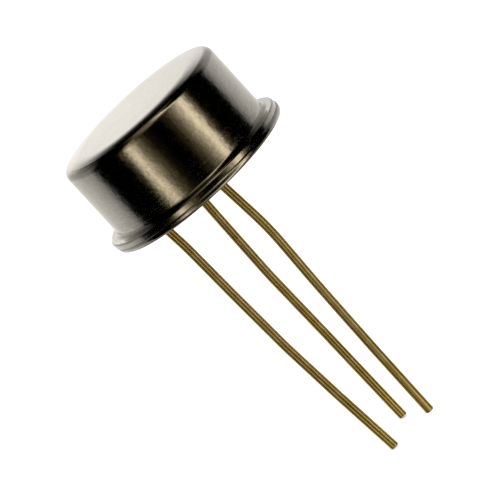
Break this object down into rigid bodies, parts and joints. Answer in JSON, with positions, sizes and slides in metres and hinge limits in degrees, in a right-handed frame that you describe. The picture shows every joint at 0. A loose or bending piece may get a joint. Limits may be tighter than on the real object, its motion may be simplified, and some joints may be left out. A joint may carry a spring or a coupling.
{
  "type": "voltage regulator",
  "caption": "Low round metal can on a flanged header with an index tab, with thin gold-plated wire leads below, sealed in glass.",
  "frame": {"origin": "centre of the seating plane, the underside of the header flange", "axes": "+Z out through the can's top, leads towards -Z; lead 1 at +Y, lead 2 at -X, lead 3 at -Y; the index tab points between +X and +Y"},
  "size_m": [0.0092, 0.0092, 0.0183],
  "materials": {
    "can_nickel": "satin nickel, fine brushing round the can, real metal nickel over steel",
    "header_nickel": "satin nickel-plated stamped steel",
    "seal_glass": "dark grey-green sealing glass, smooth as fired, opaque in bulk",
    "lead_gold": "thin gold plate over drawn iron-nickel wire, with lengthwise drawing lines",
    "chip_solder": "reflowed soft solder, dull silver",
    "chip_silicon": "polished silicon with a glassy top layer",
    "bond_aluminium": "soft bright aluminium wire"
  },
  "bodies": {
    "root": {"can": "can_nickel", "header": "header_nickel", "header_glass": "seal_glass", "lead_1": "lead_gold", "lead_2": "lead_gold", "lead_3": "lead_gold", "chip_solder": "chip_solder", "chip": "chip_silicon", "bond_wire_1a": "bond_aluminium", "bond_wire_1b": "bond_aluminium", "bond_wire_2": "bond_aluminium", "bond_wire_case_a": "bond_aluminium", "bond_wire_case_b": "bond_aluminium"}
  },
  "joints": []
}
